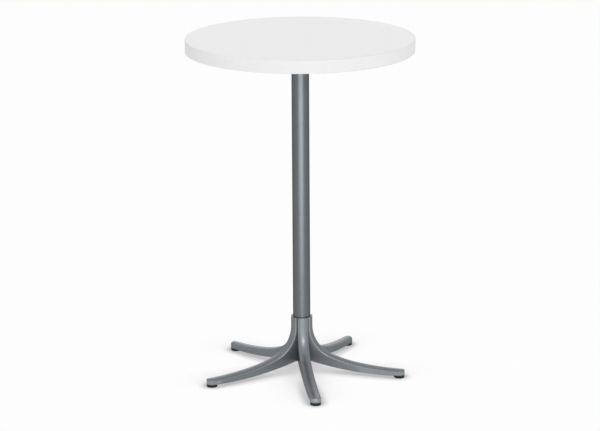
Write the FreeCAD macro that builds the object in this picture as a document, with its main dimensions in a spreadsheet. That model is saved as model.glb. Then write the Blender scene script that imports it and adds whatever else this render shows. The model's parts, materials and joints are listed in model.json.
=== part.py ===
import FreeCAD, Part
import math
import os
import re
import Sketcher

# Driving sizes: lengths in millimetres, angles in degrees
SIZES = {
    # table top
    "overall_height": 1070,
    "top_diameter": 700,
    "top_thickness": 40,
    "laminate_thickness": 0.8,
    "edge_band_thickness": 2,
    "edge_band_rounding": 1.5,
    "glue_line": 0.1,
    # spider under the top
    "spider_arm_count": 4,
    "spider_arm_reach": 170,
    "spider_arm_width": 36,
    "spider_arm_thickness": 8,
    "spider_hub_diameter": 84,
    "spider_hub_depth": 14,
    "spider_spigot_length": 35,
    "spider_rounding": 2,
    "inner_screw_radius": 84,
    # screws that hold the spider
    "wood_screw_diameter": 5,
    "wood_screw_bite": 23,
    "wood_screw_end_gap": 2,
    "wood_screw_head_diameter": 10,
    "wood_screw_head_height": 3.2,
    "wood_screw_head_crown": 1.2,
    "cross_recess_length": 5,
    "cross_recess_width": 1.4,
    "cross_recess_depth": 1.8,
    # column
    "tube_diameter": 54,
    "tube_wall": 2,
    "spigot_clearance": 0.1,
    # tie rod with its washer and nut
    "rod_diameter": 12,
    "rod_chamfer": 1,
    "rod_end_gap": 3,
    "rod_end_stub": 2,
    "rod_clearance": 0.5,
    "thread_clearance": 0.05,
    "washer_diameter": 24,
    "washer_thickness": 2.5,
    "nut_width": 18,
    "nut_height": 10.8,
    # clamp plate under the leg roots, and its screws
    "clamp_plate_diameter": 50,
    "clamp_plate_thickness": 6,
    "clamp_plate_clearance": 0.3,
    "clamp_recess_margin": 2.7,
    "clamp_screw_edge": 0.9,
    "clamp_screw_diameter": 6,
    "clamp_screw_bite": 11,
    "clamp_screw_head_diameter": 11.2,
    "clamp_screw_head_height": 3,
    "clamp_socket_width": 4,
    "clamp_socket_depth": 2.2,
    # legs
    "leg_count": 5,
    "front_leg_angle": 270,
    "leg_width": 34,
    "leg_seam": 0.2,
    "leg_wall": 4.5,
    "leg_edge_rounding": 4,
    "leg_foot_rounding": 1,
    "rounding_limit_share": 0.76,
    "rib_thickness": 6.5,
    "rib_straight_length": 31.8,
    "rib_top_rounding": 1.2,
    "rib_bore_clearance": 0.1,
    "heel_radius": 98.5,
    "heel_turn_share": 0.857,
    "arm_radius": 445,
    "arm_slope": 9.6,
    "channel_start_share": 0.52,
    "root_rise": 35.6,
    "root_web_thickness": 14,
    "tip_slope": 1,
    "tip_thickness": 17.2,
    "tip_roof_thickness": 3,
    "tip_seat_radius": 20,
    # levelling glides
    "glide_circle_radius": 309,
    "pad_diameter": 33,
    "pad_sole_thickness": 2.9,
    "pad_lip_thickness": 2.6,
    "pad_sole_rounding": 1.2,
    "pad_rim_rounding": 0.6,
    "pad_key_hole_diameter": 6.5,
    "stud_diameter": 8,
    "stud_chamfer": 0.8,
    "stud_head_diameter": 17,
    "stud_head_height": 3,
    "stud_end_gap": 0.8,
    "stud_socket_width": 5,
    "stud_socket_depth": 4,
    "swivel_clearance": 0.3,
    "swivel_play": 0.05,
    # how far a cut runs past what it cuts
    "overrun": 5,
}

# Heights, radii and angles that several pieces share
TOP_UNDERSIDE = "(overall_height - top_thickness)"
CORE_UNDERSIDE = f"({TOP_UNDERSIDE} + laminate_thickness)"
CORE_FACE = "(overall_height - laminate_thickness)"
CORE_RADIUS = "(top_diameter / 2 - edge_band_thickness - glue_line)"
ARM_UNDERSIDE = f"({TOP_UNDERSIDE} - spider_arm_thickness)"
OUTER_SCREW_RADIUS = "(spider_arm_reach - spider_arm_width / 2)"
WOOD_SCREW_TIP = f"({CORE_UNDERSIDE} + wood_screw_bite)"
WOOD_SCREW_HOLE = "(wood_screw_diameter / 2 + thread_clearance)"
TUBE_TOP = f"({TOP_UNDERSIDE} - spider_hub_depth)"
TUBE_RADIUS = "(tube_diameter / 2)"
TUBE_BORE = "(tube_diameter / 2 - tube_wall)"
PAD_HEIGHT = "(pad_sole_thickness + stud_head_height + 2 * swivel_play + pad_lip_thickness)"
TIP_HEIGHT = f"({PAD_HEIGHT} + tip_thickness)"
TIP_END = "(glide_circle_radius + leg_width / 2)"
TIP_SEAT_START = "(glide_circle_radius - tip_seat_radius)"
STUD_HOLE = "(stud_diameter / 2 + thread_clearance)"
STUD_HOLE_TOP = f"({TIP_HEIGHT} - tip_roof_thickness)"
ROOT_UNDERSIDE = f"({PAD_HEIGHT} + root_rise)"
NUT_UNDERSIDE = f"({ROOT_UNDERSIDE} + clamp_recess_margin + rod_end_stub)"
WASHER_UNDERSIDE = f"({NUT_UNDERSIDE} + nut_height)"
PLATE_UNDERSIDE = f"({WASHER_UNDERSIDE} + washer_thickness)"
WEB_UNDERSIDE = f"({PLATE_UNDERSIDE} + clamp_plate_thickness)"
TUBE_SEAT = f"({WEB_UNDERSIDE} + root_web_thickness)"
CLAMP_SCREW_RADIUS = "(clamp_plate_diameter / 2 - clamp_screw_head_diameter / 2 - clamp_screw_edge)"
CLAMP_SCREW_HOLE = "(clamp_screw_diameter / 2 + thread_clearance)"
ROD_HOLE = "(rod_diameter / 2 + rod_clearance)"
ROD_THREAD = "(rod_diameter / 2 + thread_clearance)"

# The crown line of a leg: down the rib, round the heel and out along the arm to the tip
RIB_RADIUS = "(tube_diameter / 2 + rib_thickness)"
ARM_TURN = "(90 - arm_slope)"
HEEL_TURN = f"(heel_turn_share * {ARM_TURN})"
HEEL_END_RADIUS = f"({RIB_RADIUS} + heel_radius * (1 - cos({HEEL_TURN})))"
ARM_END_RADIUS = f"({HEEL_END_RADIUS} + arm_radius * (cos({HEEL_TURN}) - cos({ARM_TURN})))"
ARM_END_HEIGHT = f"({TIP_HEIGHT} + ({TIP_END} - {ARM_END_RADIUS}) * tan((arm_slope + tip_slope) / 2))"
HEEL_END_HEIGHT = f"({ARM_END_HEIGHT} + arm_radius * (sin({ARM_TURN}) - sin({HEEL_TURN})))"
HEEL_HEIGHT = f"({HEEL_END_HEIGHT} + heel_radius * sin({HEEL_TURN}))"
RIB_TOP = f"({HEEL_HEIGHT} + rib_straight_length)"

# Between two neighbouring legs: half the angle, and where a leg's two seams meet
SEAM_ANGLE = "(180 / leg_count)"
SEAM_APEX = f"(leg_seam / 2 / sin({SEAM_ANGLE}))"
# The roundings of a leg, no larger than its walls allow
LEG_EDGE = "min(leg_edge_rounding; rounding_limit_share * min(tip_thickness; leg_width / 2))"
LEG_FOOT = "min(leg_foot_rounding; (1 - rounding_limit_share) * tip_thickness)"

doc = FreeCAD.newDocument("bar_table")
sheet = doc.addObject("Spreadsheet::Sheet", "Sizes")
for row, (name, size) in enumerate(SIZES.items(), start=1):
    sheet.set(f"A{row}", name)
    sheet.set(f"B{row}", str(size))
    sheet.setAlias(f"B{row}", name)
doc.recompute()

subparts = []


def tied(formula):
    """The formula with every size looked up in the sheet."""
    return re.sub(r"[a-z_]+", lambda word: f"Sizes.{word[0]}" if word[0] in SIZES else word[0], formula)


def measure(formula):
    """What the formula comes to."""
    return float(sheet.evalExpression(tied(formula)))


def new_body(label):
    """An empty body that will be written as the sub-part of that name."""
    body = doc.addObject("PartDesign::Body", label)
    body.Label = label
    subparts.append(body)
    return body


def origin_feature(body, role):
    return next(feature for feature in body.Origin.OriginFeatures if feature.Role == role)


def new_sketch(body, plane, height="0"):
    """An empty sketch on an origin plane of the body, or that far along the plane's normal."""
    sketch = body.newObject("Sketcher::SketchObject", "outline")
    sketch.AttachmentSupport = [(origin_feature(body, plane), "")]
    sketch.MapMode = "FlatFace"
    sketch.setExpression("AttachmentOffset.Base.z", tied(height))
    return sketch


def bind(sketch, constraint, formula):
    """Adds a dimension to the sketch that follows the formula."""
    index = sketch.addConstraint(constraint)
    sketch.setExpression(f"Constraints[{index}]", tied(formula))


def arc_between(start, end, turn, radius, heading):
    """An arc that turns left (1) or right (-1), and its heading at the end. Without a radius the arc
    leaves along the heading that is given."""
    chord = end - start
    if radius is None:
        side = FreeCAD.Vector(-heading.y, heading.x, 0) * turn
        radius = chord.dot(chord) / (2 * chord.dot(side))
    sagitta = radius - math.sqrt(radius ** 2 - chord.dot(chord) / 4)
    outward = FreeCAD.Vector(chord.y, -chord.x, 0).normalize() * turn
    arc = Part.ArcOfCircle(start, (start + end) / 2 + outward * sagitta, end)
    spoke = end - arc.Center
    return arc, FreeCAD.Vector(-spoke.y, spoke.x, 0).normalize() * turn


def draw_loop(sketch, corners, closed=True):
    """Draws a loop or an open line through corners in formulas. After a corner (x, y) the edge is straight,
    and after (x, y, turn, radius) it is an arc, tangent to the edge before it where the radius is None."""
    first = sketch.GeometryCount
    count = len(corners) if closed else len(corners) - 1
    points = [FreeCAD.Vector(measure(corner[0]), measure(corner[1]), 0) for corner in corners]
    heading = None
    for index, corner in enumerate(corners[:count]):
        start = points[index]
        end = points[(index + 1) % len(corners)]
        if len(corner) == 2:
            edge = Part.LineSegment(start, end)
            heading = (end - start).normalize()
        else:
            radius = None if corner[3] is None else measure(corner[3])
            edge, heading = arc_between(start, end, corner[2], radius, heading)
        sketch.addGeometry(edge, False)

    def end_at(index, point):
        distances = [sketch.getPoint(first + index, end).distanceToPoint(point) for end in (1, 2)]
        return first + index, 1 + distances.index(min(distances))

    for index, corner in enumerate(corners):
        here = end_at(min(index, count - 1), points[index])
        before = end_at((index - 1) % count, points[index])
        tangent = len(corner) == 4 and corner[3] is None
        if closed or 0 < index < count:
            sketch.addConstraint(Sketcher.Constraint("Tangent" if tangent else "Coincident", *before, *here))
        bind(sketch, Sketcher.Constraint("DistanceX", -1, 1, *here, points[index].x), corner[0])
        bind(sketch, Sketcher.Constraint("DistanceY", -1, 1, *here, points[index].y), corner[1])
        if len(corner) == 4 and not tangent:
            bind(sketch, Sketcher.Constraint("Radius", here[0], measure(corner[3])), corner[3])
    return sketch


def draw_circle(sketch, centre_x, radius):
    """Draws a circle on the sketch's first axis."""
    centre = FreeCAD.Vector(measure(centre_x), 0, 0)
    index = sketch.addGeometry(Part.Circle(centre, FreeCAD.Vector(0, 0, 1), measure(radius)), False)
    sketch.addConstraint(Sketcher.Constraint("PointOnObject", index, 3, -1))
    bind(sketch, Sketcher.Constraint("DistanceX", -1, 1, index, 3, centre.x), centre_x)
    bind(sketch, Sketcher.Constraint("Radius", index, measure(radius)), radius)
    return sketch


def hexagon(centre_x, width):
    """The corners of a hexagon that is that wide across its flats."""
    sides = 6
    angles = [side * 360 / sides for side in range(sides)]
    return [(f"{centre_x} + {width} / sqrt(3) * cos({angle})", f"{width} / sqrt(3) * sin({angle})")
            for angle in angles]


def rounded_bar(start_x, end_x, width):
    """The corners of a bar along the first axis with a half-round end."""
    half = f"({width} / 2)"
    return [
        (start_x, f"-{half}"),
        (f"{end_x} - {half}", f"-{half}", 1, half),
        (end_x, "0", 1, half),
        (f"{end_x} - {half}", half),
        (start_x, half),
    ]


def extrude(body, kind, sketch, length, **settings):
    """A Pad or Pocket of the sketch, as long as the formula says."""
    feature = body.newObject(f"PartDesign::{kind}", kind)
    feature.Profile = (sketch, [""])
    feature.setExpression("Length", tied(length))
    for name, setting in settings.items():
        setattr(feature, name, setting)
    doc.recompute()
    return feature


def cut_up(body, sketch, length):
    """A Pocket that runs upwards from a level sketch."""
    return extrude(body, "Pocket", sketch, length, Reversed=True)


def turned(body, kind, corners, axis_x="0"):
    """A Revolution or Groove of the loop about an upright axis."""
    sketch = draw_loop(new_sketch(body, "XZ_Plane"), corners)
    foot = FreeCAD.Vector(measure(axis_x), 0, 0)
    axis = sketch.addGeometry(Part.LineSegment(foot, foot + FreeCAD.Vector(0, measure("overrun"), 0)), True)
    sketch.addConstraint(Sketcher.Constraint("PointOnObject", axis, 1, -1))
    sketch.addConstraint(Sketcher.Constraint("Vertical", axis))
    bind(sketch, Sketcher.Constraint("DistanceX", -1, 1, axis, 1, foot.x), axis_x)
    bind(sketch, Sketcher.Constraint("DistanceY", axis, 1, axis, 2, measure("overrun")), "overrun")
    feature = body.newObject(f"PartDesign::{kind}", kind)
    feature.Profile = (sketch, [""])
    feature.ReferenceAxis = (sketch, ["Axis0"])
    doc.recompute()
    return feature


def turn_to(body, angle):
    """Turns the body about the upright axis."""
    body.Placement.Rotation = FreeCAD.Rotation(FreeCAD.Vector(0, 0, 1), measure(angle))
    body.setExpression("Placement.Rotation.Angle", tied(angle))


def repeat_round(body, features, count):
    """Repeats the features round the upright axis of the body."""
    pattern = body.newObject("PartDesign::PolarPattern", "pattern")
    pattern.Originals = features
    pattern.Axis = (origin_feature(body, "Z_Axis"), [""])
    pattern.setExpression("Occurrences", tied(count))
    body.Tip = pattern
    doc.recompute()
    return pattern


def round_edges(body, chosen, radius):
    """Rounds the edges of the body for which chosen(edge, its faces) is true."""
    base = body.Tip
    names = [f"Edge{number}" for number, edge in enumerate(base.Shape.Edges, start=1)
             if chosen(edge, base.Shape.ancestorsOfType(edge, Part.Face))]
    fillet = body.newObject("PartDesign::Fillet", "rounding")
    fillet.Base = (base, names)
    fillet.setExpression("Radius", tied(radius))
    body.Tip = fillet
    doc.recompute()
    return fillet


def disc(label, radius, bottom, top):
    body = new_body(label)
    turned(body, "Revolution", [("0", bottom), (radius, bottom), (radius, top), ("0", top)])
    return body


def ring(label, bore, radius, bottom, top):
    body = new_body(label)
    turned(body, "Revolution", [(bore, bottom), (radius, bottom), (radius, top), (bore, top)])
    return body


def drill_for_wood_screws(body, bottom, top):
    """Holes for the spider's screws, from below."""
    sketch = new_sketch(body, "XY_Plane", bottom)
    for radius in ("inner_screw_radius", OUTER_SCREW_RADIUS):
        draw_circle(sketch, radius, WOOD_SCREW_HOLE)
    hole = cut_up(body, sketch, f"{top} - {bottom}")
    repeat_round(body, [hole], "spider_arm_count")


def make_top():
    """Core, two laminates and the band round their edge."""
    core = disc("top_core", CORE_RADIUS, CORE_UNDERSIDE, CORE_FACE)
    drill_for_wood_screws(core, CORE_UNDERSIDE, f"({WOOD_SCREW_TIP} + wood_screw_end_gap)")
    disc("top_laminate", CORE_RADIUS, CORE_FACE, "overall_height")
    backing = disc("backing_laminate", CORE_RADIUS, TOP_UNDERSIDE, CORE_UNDERSIDE)
    drill_for_wood_screws(backing, TOP_UNDERSIDE, CORE_UNDERSIDE)
    band = new_body("edge_band")
    outside = "(top_diameter / 2)"
    inside = f"({outside} - edge_band_thickness)"
    rounding = "min(edge_band_rounding; rounding_limit_share * edge_band_thickness)"
    turned(band, "Revolution", [
        (inside, TOP_UNDERSIDE),
        (f"{outside} - {rounding}", TOP_UNDERSIDE, 1, rounding),
        (outside, f"{TOP_UNDERSIDE} + {rounding}"),
        (outside, f"overall_height - {rounding}", 1, rounding),
        (f"{outside} - {rounding}", "overall_height"),
        (inside, "overall_height"),
    ])


def make_spider():
    """Hub with a threaded bore and a spigot for the tube, and four flat arms."""
    body = new_body("top_spider")
    spigot_radius = f"({TUBE_BORE} - spigot_clearance)"
    turned(body, "Revolution", [
        (ROD_THREAD, f"{TUBE_TOP} - spider_spigot_length"),
        (spigot_radius, f"{TUBE_TOP} - spider_spigot_length"),
        (spigot_radius, TUBE_TOP),
        ("spider_hub_diameter / 2", TUBE_TOP),
        ("spider_hub_diameter / 2", TOP_UNDERSIDE),
        (ROD_THREAD, TOP_UNDERSIDE),
    ])
    bar = new_sketch(body, "XY_Plane", ARM_UNDERSIDE)
    draw_loop(bar, rounded_bar(TUBE_RADIUS, "spider_arm_reach", "spider_arm_width"))
    arm = extrude(body, "Pad", bar, "spider_arm_thickness")
    holes = new_sketch(body, "XY_Plane", ARM_UNDERSIDE)
    for radius in ("inner_screw_radius", OUTER_SCREW_RADIUS):
        draw_circle(holes, radius, WOOD_SCREW_HOLE)
    hole = cut_up(body, holes, "spider_arm_thickness")
    repeat_round(body, [arm, hole], "spider_arm_count")
    arm_middle = measure(f"{ARM_UNDERSIDE} + spider_arm_thickness / 2")
    hub_radius = measure("spider_hub_diameter / 2")
    hole_width = measure(f"3 * {WOOD_SCREW_HOLE}")

    def under_arm(edge, faces):
        box = edge.BoundBox
        level = measure(TUBE_TOP) < box.ZMin and box.ZMax < arm_middle
        reach = math.hypot(edge.CenterOfMass.x, edge.CenterOfMass.y)
        return level and reach > hub_radius and box.DiagonalLength > hole_width

    round_edges(body, under_arm, "min(spider_rounding; rounding_limit_share * spider_arm_thickness)")


def make_wood_screws():
    """Pan-head screws with a cross recess, two in each arm of the spider."""
    body = new_body("spider_screws")
    body.AllowCompound = True
    head_bottom = f"({ARM_UNDERSIDE} - wood_screw_head_height)"
    crown = "min(wood_screw_head_crown; rounding_limit_share * wood_screw_head_height)"
    half = "(cross_recess_width / 2)"
    end = "(cross_recess_length / 2)"
    cross = [
        (end, half), (half, half), (half, end),
        (f"-{half}", end), (f"-{half}", half), (f"-{end}", half),
        (f"-{end}", f"-{half}"), (f"-{half}", f"-{half}"), (f"-{half}", f"-{end}"),
        (half, f"-{end}"), (half, f"-{half}"), (end, f"-{half}"),
    ]
    features = []
    for axis in ("inner_screw_radius", OUTER_SCREW_RADIUS):
        head = f"({axis} + wood_screw_head_diameter / 2)"
        shank = f"({axis} + wood_screw_diameter / 2)"
        features.append(turned(body, "Revolution", [
            (axis, head_bottom),
            (f"{head} - {crown}", head_bottom, 1, crown),
            (head, f"{head_bottom} + {crown}"),
            (head, ARM_UNDERSIDE),
            (shank, ARM_UNDERSIDE),
            (shank, f"{WOOD_SCREW_TIP} - wood_screw_diameter"),
            (axis, WOOD_SCREW_TIP),
        ], axis))
        recess = new_sketch(body, "XY_Plane", head_bottom)
        draw_loop(recess, [(f"{axis} + {x}", y) for x, y in cross])
        features.append(cut_up(body, recess, "cross_recess_depth"))
    repeat_round(body, features, "spider_arm_count")


def make_column():
    """The tube, and the tie rod inside it with its washer and nut."""
    ring("column_tube", TUBE_BORE, TUBE_RADIUS, TUBE_SEAT, TUBE_TOP)
    rod = new_body("tie_rod")
    radius = "(rod_diameter / 2)"
    bottom = f"({NUT_UNDERSIDE} - rod_end_stub)"
    top = f"({TOP_UNDERSIDE} - rod_end_gap)"
    turned(rod, "Revolution", [
        ("0", bottom),
        (f"{radius} - rod_chamfer", bottom),
        (radius, f"{bottom} + rod_chamfer"),
        (radius, f"{top} - rod_chamfer"),
        (f"{radius} - rod_chamfer", top),
        ("0", top),
    ])
    ring("tie_rod_washer", ROD_HOLE, "washer_diameter / 2", WASHER_UNDERSIDE, PLATE_UNDERSIDE)
    nut = new_body("tie_rod_nut")
    sketch = draw_loop(new_sketch(nut, "XY_Plane", NUT_UNDERSIDE), hexagon("0", "nut_width"))
    extrude(nut, "Pad", draw_circle(sketch, "0", ROD_THREAD), "nut_height")


def countersunk(axis, gap):
    """Half the section of a countersunk screw, widened by a gap."""
    head = f"({axis} + clamp_screw_head_diameter / 2 + {gap})"
    shank = f"({axis} + clamp_screw_diameter / 2 + {gap})"
    return head, shank, f"({PLATE_UNDERSIDE} + clamp_screw_head_height)"


def make_clamp():
    """Plate under the leg roots, with a countersunk screw up into each leg."""
    plate = ring("clamp_plate", ROD_HOLE, "clamp_plate_diameter / 2", PLATE_UNDERSIDE, WEB_UNDERSIDE)
    head, shank, neck = countersunk(CLAMP_SCREW_RADIUS, "thread_clearance")
    hole = turned(plate, "Groove", [
        (CLAMP_SCREW_RADIUS, PLATE_UNDERSIDE),
        (head, PLATE_UNDERSIDE),
        (shank, neck),
        (shank, WEB_UNDERSIDE),
        (CLAMP_SCREW_RADIUS, WEB_UNDERSIDE),
    ], CLAMP_SCREW_RADIUS)
    repeat_round(plate, [hole], "leg_count")
    screws = new_body("clamp_screws")
    screws.AllowCompound = True
    head, shank, neck = countersunk(CLAMP_SCREW_RADIUS, "0")
    tip = f"({WEB_UNDERSIDE} + clamp_screw_bite)"
    screw = turned(screws, "Revolution", [
        (CLAMP_SCREW_RADIUS, PLATE_UNDERSIDE),
        (head, PLATE_UNDERSIDE),
        (shank, neck),
        (shank, tip),
        (CLAMP_SCREW_RADIUS, tip),
    ], CLAMP_SCREW_RADIUS)
    socket = draw_loop(new_sketch(screws, "XY_Plane", PLATE_UNDERSIDE),
                       hexagon(CLAMP_SCREW_RADIUS, "clamp_socket_width"))
    repeat_round(screws, [screw, cut_up(screws, socket, "clamp_socket_depth")], "leg_count")
    for body in (plate, screws):
        turn_to(body, "front_leg_angle")


def sweep_leg(body):
    """Sweeps the leg along its crown line, as round across the crown as the rib is about the tube."""
    half = "((leg_width + overrun) / 2)"
    edge = f"(sqrt({RIB_RADIUS} * {RIB_RADIUS} - {half} * {half}))"
    inside = f"({RIB_RADIUS} - {HEEL_HEIGHT})"
    section = draw_loop(new_sketch(body, "XY_Plane", RIB_TOP), [
        (inside, f"-{half}"),
        (edge, f"-{half}", 1, RIB_RADIUS),
        (edge, half),
        (inside, half),
    ])
    crown = draw_loop(new_sketch(body, "XZ_Plane"), [
        (RIB_RADIUS, RIB_TOP),
        (RIB_RADIUS, HEEL_HEIGHT, 1, "heel_radius"),
        (HEEL_END_RADIUS, HEEL_END_HEIGHT, 1, "arm_radius"),
        (ARM_END_RADIUS, ARM_END_HEIGHT, 1, None),
        (TIP_END, TIP_HEIGHT),
        (f"{TIP_END} + overrun", f"{TIP_HEIGHT} - overrun * tan(tip_slope)"),
    ], closed=False)
    sweep = body.newObject("PartDesign::AdditivePipe", "sweep")
    sweep.Profile = (section, [""])
    sweep.Spine = (crown, [""])
    doc.recompute()


def leg_underside(body):
    """All that lies under the leg and behind the middle of the table, seen from the side."""
    margin = f"({HEEL_HEIGHT} + overrun)"
    return draw_loop(new_sketch(body, "XZ_Plane"), [
        ("0", f"{RIB_TOP} + overrun"),
        (f"-{margin}", f"{RIB_TOP} + overrun"),
        (f"-{margin}", f"-{margin}"),
        (f"{TIP_END} + {margin}", f"-{margin}"),
        (f"{TIP_END} + {margin}", PAD_HEIGHT),
        (TIP_SEAT_START, PAD_HEIGHT, -1, None),
        (TUBE_RADIUS, ROOT_UNDERSIDE),
        ("0", ROOT_UNDERSIDE),
    ])


def leg_plan(body):
    """All that lies past the leg's sides and its round tip, seen from above."""
    margin = "(leg_width / 2 + overrun)"
    sketch = draw_loop(new_sketch(body, "XY_Plane"), [
        ("-2 * overrun", f"-{margin}"),
        (f"{TIP_END} + overrun", f"-{margin}"),
        (f"{TIP_END} + overrun", margin),
        ("-2 * overrun", margin),
    ])
    return draw_loop(sketch, rounded_bar("-overrun", TIP_END, "leg_width"))


def leg_seams(body):
    """All that lies past the leg's two seams with its neighbours, seen from above."""
    margin = "(leg_width / 2 + overrun)"
    reach = f"({SEAM_APEX} + {margin} / tan({SEAM_ANGLE}))"
    return draw_loop(new_sketch(body, "XY_Plane"), [
        ("-overrun", f"-{margin}"),
        (reach, f"-{margin}"),
        (SEAM_APEX, "0"),
        (reach, margin),
        ("-overrun", margin),
    ])


def leg_channel(body):
    """The hollow under the leg, a wall's thickness below its crown line."""
    start = f"(channel_start_share * {HEEL_TURN})"
    heel = "(heel_radius + leg_wall)"
    arm = "(arm_radius + leg_wall)"
    centre = f"({RIB_RADIUS} + heel_radius)"
    start_radius = f"({centre} - {heel} * cos({start}))"
    arm_start_radius = f"{centre} - {heel} * cos({HEEL_TURN})"
    arm_start_height = f"{HEEL_HEIGHT} - {heel} * sin({HEEL_TURN})"
    arm_end_radius = f"{ARM_END_RADIUS} - leg_wall * cos({ARM_TURN})"
    arm_end_height = f"{ARM_END_HEIGHT} - leg_wall * sin({ARM_TURN})"
    return draw_loop(new_sketch(body, "XZ_Plane"), [
        (start_radius, f"{HEEL_HEIGHT} - {heel} * sin({start})", 1, heel),
        (arm_start_radius, arm_start_height, 1, arm),
        (arm_end_radius, arm_end_height, 1, None),
        (TIP_SEAT_START, f"{TIP_HEIGHT} - leg_wall"),
        (TIP_SEAT_START, "0"),
        (start_radius, "0"),
    ])


def leg_bores(body):
    """From below upwards: recess for the clamp plate, hole for the tie rod, and bore for the tube."""
    recess = "(clamp_plate_diameter / 2 + clamp_plate_clearance)"
    bore = f"({TUBE_RADIUS} + rib_bore_clearance)"
    turned(body, "Groove", [
        ("0", f"{ROOT_UNDERSIDE} - overrun"),
        (recess, f"{ROOT_UNDERSIDE} - overrun"),
        (recess, WEB_UNDERSIDE),
        (ROD_HOLE, WEB_UNDERSIDE),
        (ROD_HOLE, TUBE_SEAT),
        (bore, TUBE_SEAT),
        (bore, f"{RIB_TOP} + overrun"),
        ("0", f"{RIB_TOP} + overrun"),
    ])


def round_leg(body):
    """Rounds the crown along the sides and tip, the foot below it, and the top of the rib."""
    tip_seat = measure(TIP_SEAT_START)
    tip_middle = measure(f"{PAD_HEIGHT} + tip_thickness / 2")
    rib_high = measure(f"{RIB_TOP} - rib_straight_length / 2")
    tube_middle = measure(f"{TUBE_RADIUS} / 2")

    def is_side(face):
        normal = face.normalAt(*face.Surface.parameter(face.CenterOfMass))
        return abs(normal.z) < face.Tolerance and face.BoundBox.XMax > tip_seat

    def on_side(faces):
        return [is_side(face) for face in faces].count(True) == 1

    def on_crown(edge, faces):
        return on_side(faces) and edge.BoundBox.XMin > tube_middle and edge.BoundBox.ZMin > tip_middle

    def on_foot(edge, faces):
        return on_side(faces) and edge.BoundBox.ZMin < tip_middle

    def on_rib_top(edge, faces):
        return edge.BoundBox.XMax > tube_middle and edge.BoundBox.ZMin > rib_high

    round_edges(body, on_crown, LEG_EDGE)
    round_edges(body, on_foot, LEG_FOOT)
    round_edges(body, on_rib_top, "min(rib_top_rounding; rounding_limit_share * rib_thickness)")


def make_leg():
    """One cast leg along the first axis: rib, heel, arm and tip, hollow from below."""
    body = doc.addObject("PartDesign::Body", "leg")
    sweep_leg(body)
    extrude(body, "Pocket", leg_underside(body), "leg_width + 2 * overrun", Midplane=True)
    cut_up(body, leg_plan(body), f"{RIB_TOP} + overrun")
    round_leg(body)
    cut_up(body, leg_seams(body), f"{RIB_TOP} + overrun")
    leg_bores(body)
    extrude(body, "Pocket", leg_channel(body), "leg_width - 2 * leg_wall", Midplane=True)
    cut_up(body, draw_circle(new_sketch(body, "XY_Plane"), "glide_circle_radius", STUD_HOLE), STUD_HOLE_TOP)
    screw_hole = draw_circle(new_sketch(body, "XY_Plane"), CLAMP_SCREW_RADIUS, CLAMP_SCREW_HOLE)
    cut_up(body, screw_hole, f"{TUBE_SEAT} + overrun")
    return body


def make_pad():
    """Glide pad, hollow round the head of its stud and open below it for a key."""
    body = doc.addObject("PartDesign::Body", "glide_pad")
    side = "(pad_diameter / 2)"
    key_hole = "(pad_key_hole_diameter / 2)"
    neck = "(stud_diameter / 2 + swivel_clearance)"
    hollow = "(stud_head_diameter / 2 + swivel_clearance)"
    lip = f"({PAD_HEIGHT} - pad_lip_thickness)"
    turned(body, "Revolution", [
        (key_hole, "0"),
        (f"{side} - pad_sole_rounding", "0", 1, "pad_sole_rounding"),
        (side, "pad_sole_rounding"),
        (side, f"{PAD_HEIGHT} - pad_rim_rounding", 1, "pad_rim_rounding"),
        (f"{side} - pad_rim_rounding", PAD_HEIGHT),
        (neck, PAD_HEIGHT),
        (neck, lip),
        (hollow, lip),
        (hollow, "pad_sole_thickness"),
        (key_hole, "pad_sole_thickness"),
    ])
    return body


def make_stud():
    """Threaded stud with a flat head, and a hexagon socket in its lower end."""
    body = doc.addObject("PartDesign::Body", "glide_stud")
    shank = "(stud_diameter / 2)"
    bottom = "(pad_sole_thickness + swivel_play)"
    shoulder = f"({bottom} + stud_head_height)"
    top = f"({STUD_HOLE_TOP} - stud_end_gap)"
    turned(body, "Revolution", [
        ("0", bottom),
        ("stud_head_diameter / 2", bottom),
        ("stud_head_diameter / 2", shoulder),
        (shank, shoulder),
        (shank, f"{top} - stud_chamfer"),
        (f"{shank} - stud_chamfer", top),
        ("0", top),
    ])
    socket = draw_loop(new_sketch(body, "XY_Plane", bottom), hexagon("0", "stud_socket_width"))
    cut_up(body, socket, "stud_socket_depth")
    return body


def stand_round(label, pattern, radius):
    """A copy of the pattern for each leg, that far from the middle. The first one is at the front."""
    for index in range(int(measure("leg_count"))):
        body = new_body(f"{label}_{index + 1}")
        copy = body.newObject("PartDesign::FeatureBase", "copy")
        copy.BaseFeature = pattern
        body.Tip = copy
        angle = f"(front_leg_angle + {index} * 360 / leg_count)"
        turn_to(body, angle)
        body.setExpression("Placement.Base.x", tied(f"{radius} * cos({angle})"))
        body.setExpression("Placement.Base.y", tied(f"{radius} * sin({angle})"))


def write_subparts():
    """Checks the document and every sub-part, and writes the files."""
    doc.recompute()
    for item in doc.Objects:
        if {"Invalid", "Error"} & set(item.State):
            raise RuntimeError(f"{item.Label} failed: {item.State}")
    for body in subparts:
        if body.Shape.isNull() or not body.Shape.isValid():
            raise RuntimeError(f"{body.Label} has no valid shape")
    os.makedirs("parts", exist_ok=True)
    for body in subparts:
        body.Shape.exportStep(f"parts/{body.Label}.step")


make_top()
make_spider()
make_wood_screws()
make_column()
make_clamp()
stand_round("leg", make_leg(), "0")
stand_round("glide_pad", make_pad(), "glide_circle_radius")
stand_round("glide_stud", make_stud(), "glide_circle_radius")
write_subparts()
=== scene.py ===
import json
import math

import bmesh
import bpy
from mathutils import Matrix, Vector

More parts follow.
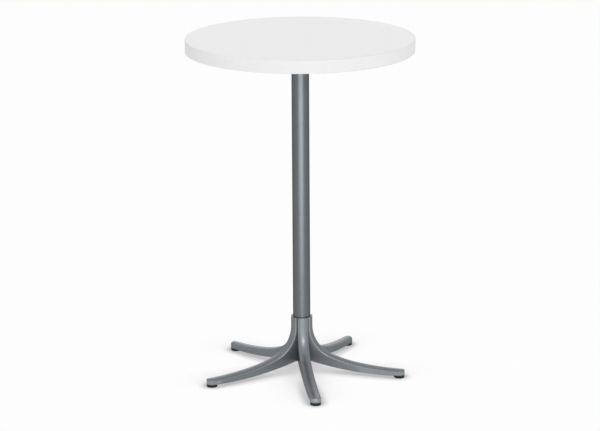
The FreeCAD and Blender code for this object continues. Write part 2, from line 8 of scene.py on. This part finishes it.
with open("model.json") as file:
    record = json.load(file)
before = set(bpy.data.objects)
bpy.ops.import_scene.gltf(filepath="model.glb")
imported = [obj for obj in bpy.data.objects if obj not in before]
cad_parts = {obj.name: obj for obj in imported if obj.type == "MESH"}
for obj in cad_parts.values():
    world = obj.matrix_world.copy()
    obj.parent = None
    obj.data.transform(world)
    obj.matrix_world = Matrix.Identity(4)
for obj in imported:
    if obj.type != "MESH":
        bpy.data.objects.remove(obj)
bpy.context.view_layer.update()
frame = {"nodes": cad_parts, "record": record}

scene = bpy.context.scene

# Where the photograph was taken from, in metres and degrees, and with which lens, in millimetres
CAMERA_PLACE = Vector((-0.9487, -7.1733, 2.4736))
CAMERA_HEADING = Vector((0.13065, 0.99143, 0.0)).normalized()
CAMERA_PITCH = 15.182
CAMERA_LENS = 145.3
SENSOR_WIDTH = 36.0
# How far the camera sees, in metres, and how much it leans to the right, as a slope
CAMERA_SIGHT = 200.0
CAMERA_LEAN = 0.0061

# How strong the white of floor and room is where it is seen, and the room where it only lights
SEEN_WHITE = 0.985
ROOM_LIGHT = 0.73
# The middle of the floor to its edge, in metres
FLOOR_HALF_WIDTH = 40.0

# How far the two shadows on the floor reach, in metres, and how high their light stands in front, in degrees
FRONT_SHADOW_REACH = 0.13
FRONT_SHADOW_RISE = 25.0
CONTACT_SHADOW_REACH = 0.03
CONTACT_SHADOW_RISE = 90.0
# The share of light that gets past where a shadow is full and where it ends, and how bright a full shadow is
SHADOW_SPAN = (0.55, 0.97)
FULL_SHADOW = 0.5
SHADOW_RAYS = 12

# How far over the floor the lit panels lie, in metres, and how far most are turned from the front, in degrees
PANEL_HEIGHT = 0.01
PANEL_AZIMUTH = -2.5

# Most of a noise texture lies between these
NOISE_SPAN = (0.3, 0.7)


def spread(tree, value, start, end):
    """The value, with what lies between the two numbers of start spread between the two of end."""
    node = tree.nodes.new("ShaderNodeMapRange")
    for name, number in zip(("From Min", "From Max", "To Min", "To Max"), (*start, *end)):
        node.inputs[name].default_value = number
    tree.links.new(value, node.inputs["Value"])
    return node.outputs["Result"]


def shade(colour, share):
    """The colour, darker with a share below 1 and lighter with one above."""
    return tuple(channel * share for channel in colour)


class Shader:
    """A material under construction: its nodes, and short ways to add to them."""

    def __init__(self, name):
        self.material = bpy.data.materials.new(name)
        self.material.use_nodes = True
        self.tree = self.material.node_tree
        self.surface = self.tree.nodes["Principled BSDF"]
        self.place = self.add("ShaderNodeTexCoord").outputs["Object"]

    def add(self, kind, **settings):
        node = self.tree.nodes.new(kind)
        for name, value in settings.items():
            setattr(node, name, value)
        return node

    def join(self, output, target):
        self.tree.links.new(output, target)

    def set(self, **values):
        for name, value in values.items():
            self.surface.inputs[name.replace("_", " ")].default_value = value

    def noise(self, scale, detail=2.0, stretch=(1.0, 1.0, 1.0)):
        """Noise whose grains are 1/scale metres across."""
        mapping = self.add("ShaderNodeMapping")
        mapping.inputs["Scale"].default_value = stretch
        self.join(self.place, mapping.inputs["Vector"])
        texture = self.add("ShaderNodeTexNoise")
        texture.inputs["Scale"].default_value = scale
        texture.inputs["Detail"].default_value = detail
        self.join(mapping.outputs["Vector"], texture.inputs["Vector"])
        return texture.outputs["Fac"]

    def colour(self, noise, dark, light):
        """A colour between dark and light that follows the noise."""
        mix = self.add("ShaderNodeMix", data_type="RGBA")
        mix.inputs["A"].default_value = (*dark, 1.0)
        mix.inputs["B"].default_value = (*light, 1.0)
        self.join(spread(self.tree, noise, NOISE_SPAN, (0.0, 1.0)), mix.inputs["Factor"])
        self.join(mix.outputs["Result"], self.surface.inputs["Base Color"])

    def roughness(self, noise, low, high):
        self.join(spread(self.tree, noise, NOISE_SPAN, (low, high)), self.surface.inputs["Roughness"])

    def bump(self, noise, depth):
        """Relief of that depth in metres."""
        bump = self.add("ShaderNodeBump")
        bump.inputs["Strength"].default_value = 1.0
        bump.inputs["Distance"].default_value = depth
        self.join(noise, bump.inputs["Height"])
        self.join(bump.outputs["Normal"], self.surface.inputs["Normal"])


def laminate(name, colour):
    """Matt sheet with a faint grain in its gloss."""
    shader = Shader(name)
    grain = shader.noise(scale=2200.0)
    clouds = shader.noise(scale=40.0, detail=4.0)
    shader.colour(clouds, shade(colour, 0.985), colour)
    shader.roughness(grain, low=0.6, high=0.7)
    shader.bump(grain, depth=0.00001)
    shader.set(Specular_IOR_Level=0.1)
    return shader.material


def lacquer(name, colour, rim):
    """Silver-grey metal-flake lacquer, with a rim as bright as that where it turns away."""
    shader = Shader(name)
    flakes = shader.noise(scale=1800.0, detail=1.0)
    drift = shader.noise(scale=14.0, detail=3.0)
    ripple = shader.noise(scale=420.0)
    shader.colour(drift, shade(colour, 0.96), shade(colour, 1.04))
    shader.roughness(flakes, low=0.37, high=0.45)
    shader.bump(ripple, depth=0.000005)
    shader.set(Metallic=1.0, Specular_Tint=(rim, rim, rim, 1.0))
    return shader.material


def zinc_plate(name, colour):
    """Bright plating with a fine crystal grain."""
    shader = Shader(name)
    grain = shader.noise(scale=700.0, detail=3.0)
    stains = shader.noise(scale=60.0, detail=3.0)
    shader.colour(stains, shade(colour, 0.9), colour)
    shader.roughness(grain, low=0.24, high=0.36)
    shader.bump(grain, depth=0.000008)
    shader.set(Metallic=1.0)
    return shader.material


def moulded_plastic(name, colour):
    """Dull plastic with the fine grain of its mould."""
    shader = Shader(name)
    grain = shader.noise(scale=1600.0)
    shader.colour(grain, shade(colour, 0.8), shade(colour, 1.2))
    shader.roughness(grain, low=0.45, high=0.6)
    shader.bump(grain, depth=0.00002)
    shader.set(Specular_IOR_Level=0.25)
    return shader.material


def chipboard(name, colour):
    """Raw board of pressed chips, which lie flat."""
    shader = Shader(name)
    chips = shader.noise(scale=260.0, detail=4.0, stretch=(1.0, 1.0, 2.5))
    shader.colour(chips, shade(colour, 0.55), shade(colour, 1.15))
    shader.roughness(chips, low=0.75, high=0.9)
    shader.bump(chips, depth=0.0002)
    return shader.material


def paint_nodes():
    """Gives every CAD node the finish of its slot."""
    finishes = {
        "white_laminate": laminate("white_laminate", (0.84, 0.84, 0.84)),
        "white_edging": laminate("white_edging", (0.81, 0.81, 0.81)),
        "backing_laminate": laminate("backing_laminate", (0.78, 0.78, 0.77)),
        "chipboard": chipboard("chipboard", (0.62, 0.48, 0.33)),
        "grey_lacquered_casting": lacquer("grey_lacquered_casting", (0.188, 0.205, 0.217), rim=0.65),
        # The tube's lacquer is the same silver-grey as the casting's, set darker and with a darker rim:
        # painted shade on the tube's flanks and edges
        "grey_lacquered_steel": lacquer("grey_lacquered_steel", (0.13, 0.143, 0.153), rim=0.35),
        "zinc_plated_steel": zinc_plate("zinc_plated_steel", (0.55, 0.56, 0.58)),
        "black_plastic": moulded_plastic("black_plastic", (0.012, 0.012, 0.013)),
    }
    for row in frame["record"]["subparts"]:
        mesh = frame["nodes"][row["node"]].data
        mesh.materials.clear()
        mesh.materials.append(finishes[row["material_slot"]])


def direction(azimuth, elevation):
    """Unit vector towards there: azimuth 0 is in front of the table and 90 to its right, in degrees."""
    turn = math.radians(azimuth)
    rise = math.radians(elevation)
    return Vector((math.sin(turn) * math.cos(rise), -math.cos(turn) * math.cos(rise), math.sin(rise)))


def seen_directly(tree):
    """1 on what the camera sees straight, in metal or through glass, and 0 on what only lights."""
    path = tree.nodes.new("ShaderNodeLightPath")
    total = path.outputs["Is Camera Ray"]
    for name in ("Is Glossy Ray", "Is Transmission Ray"):
        largest = tree.nodes.new("ShaderNodeMath")
        largest.operation = "MAXIMUM"
        tree.links.new(total, largest.inputs[0])
        tree.links.new(path.outputs[name], largest.inputs[1])
        total = largest.outputs["Value"]
    return total


def openness(shader, elevation, reach):
    """How much light from in front, at that elevation, gets past what stands within reach."""
    lean = shader.add("ShaderNodeCombineXYZ")
    for axis, share in zip("XYZ", direction(0.0, elevation)):
        lean.inputs[axis].default_value = share
    near = shader.add("ShaderNodeAmbientOcclusion", samples=SHADOW_RAYS)
    near.inputs["Distance"].default_value = reach
    shader.join(lean.outputs["Vector"], near.inputs["Normal"])
    return near.outputs["AO"]


def floor_paper():
    """White paper that glows evenly where it is seen, and darkens only close to what stands on it."""
    shader = Shader("floor_paper")
    shader.set(Base_Color=(0.98, 0.98, 0.98, 1.0), Roughness=0.9, Specular_IOR_Level=0.0)
    both = shader.add("ShaderNodeMath", operation="MULTIPLY")
    shader.join(openness(shader, FRONT_SHADOW_RISE, FRONT_SHADOW_REACH), both.inputs[0])
    shader.join(openness(shader, CONTACT_SHADOW_RISE, CONTACT_SHADOW_REACH), both.inputs[1])
    level = spread(shader.tree, both.outputs["Value"], SHADOW_SPAN, (FULL_SHADOW, SEEN_WHITE))
    glow = shader.add("ShaderNodeEmission")
    shader.join(level, glow.inputs["Strength"])
    mix = shader.add("ShaderNodeMixShader")
    shader.join(seen_directly(shader.tree), mix.inputs["Fac"])
    shader.join(shader.surface.outputs["BSDF"], mix.inputs[1])
    shader.join(glow.outputs["Emission"], mix.inputs[2])
    shader.join(mix.outputs["Shader"], shader.tree.nodes["Material Output"].inputs["Surface"])
    return shader.material


def lay_floor():
    """One flat sheet of paper under the glides."""
    sheet = bmesh.new()
    bmesh.ops.create_grid(sheet, x_segments=1, y_segments=1, size=FLOOR_HALF_WIDTH)
    mesh = bpy.data.meshes.new("floor")
    sheet.to_mesh(mesh)
    sheet.free()
    mesh.materials.append(floor_paper())
    floor = bpy.data.objects.new("floor", mesh)
    scene.collection.objects.link(floor)


def soft_lamp(name, azimuth, elevation, spread_angle, strength):
    """A far, broad lamp in that direction, its angles in degrees."""
    light = bpy.data.lights.new(name, "SUN")
    light.angle = math.radians(spread_angle)
    light.energy = strength
    lamp = bpy.data.objects.new(name, light)
    scene.collection.objects.link(lamp)
    lamp.rotation_euler = direction(azimuth, elevation).to_track_quat("Z", "Y").to_euler()


def bounce_panel(azimuth, near, far, width, brightness):
    """A lit panel on the floor, from near to far in front of the table, seen only in what shines."""
    light = bpy.data.lights.new("bounce_panel", "AREA")
    light.shape = "RECTANGLE"
    light.size = width
    light.size_y = far - near
    light.energy = brightness * math.pi * width * (far - near)
    panel = bpy.data.objects.new("bounce_panel", light)
    scene.collection.objects.link(panel)
    panel.location = direction(azimuth, 0.0) * (near + far) / 2
    panel.location.z = PANEL_HEIGHT
    panel.rotation_euler = (math.pi, 0.0, math.radians(azimuth))
    panel.visible_camera = False
    panel.visible_diffuse = False


def paint_room():
    """An even white room all round."""
    world = bpy.data.worlds.new("studio")
    scene.world = world
    world.use_nodes = True
    tree = world.node_tree
    sky = tree.nodes["Background"]
    sky.inputs["Color"].default_value = (1.0, 1.0, 1.0, 1.0)
    level = spread(tree, seen_directly(tree), (0.0, 1.0), (ROOM_LIGHT, SEEN_WHITE))
    tree.links.new(level, sky.inputs["Strength"])


def hang_lamps():
    """Lamps overhead, by the camera and behind, and lit panels for the glow in the lacquer."""
    soft_lamp("overhead", azimuth=-30.0, elevation=75.0, spread_angle=70.0, strength=0.15)
    soft_lamp("front", azimuth=3.0, elevation=28.0, spread_angle=18.0, strength=0.9)
    soft_lamp("rear", azimuth=175.0, elevation=12.0, spread_angle=35.0, strength=0.48)
    # On the front rib, on the sides of the two arms beside it, and on the lower and upper part of the tube
    bounce_panel(PANEL_AZIMUTH, near=0.345, far=1.4, width=0.2, brightness=1.4)
    for azimuth, near in ((-45.0, 0.26), (45.0, 0.18)):
        bounce_panel(azimuth, near, far=0.45, width=0.6, brightness=0.5)
    bounce_panel(PANEL_AZIMUTH, near=1.4, far=2.8, width=1.9, brightness=4.2)
    bounce_panel(PANEL_AZIMUTH, near=2.8, far=9.0, width=4.0, brightness=4.6)


def place_camera():
    """The camera of the photograph."""
    pitch = math.radians(CAMERA_PITCH)
    forward = CAMERA_HEADING * math.cos(pitch) - Vector((0, 0, math.sin(pitch)))
    level_right = CAMERA_HEADING.cross(Vector((0, 0, 1))).normalized()
    up = (level_right.cross(forward) + level_right * CAMERA_LEAN).normalized()
    right = forward.cross(up)
    data = bpy.data.cameras.new("camera")
    data.sensor_width = SENSOR_WIDTH
    data.lens = CAMERA_LENS
    data.clip_end = CAMERA_SIGHT
    camera = bpy.data.objects.new("camera", data)
    scene.collection.objects.link(camera)
    turn = Matrix((right, up, -forward)).transposed().to_4x4()
    camera.matrix_world = Matrix.Translation(CAMERA_PLACE) @ turn
    scene.camera = camera


paint_nodes()
lay_floor()
paint_room()
hang_lamps()
place_camera()
scene.view_settings.view_transform = "Standard"
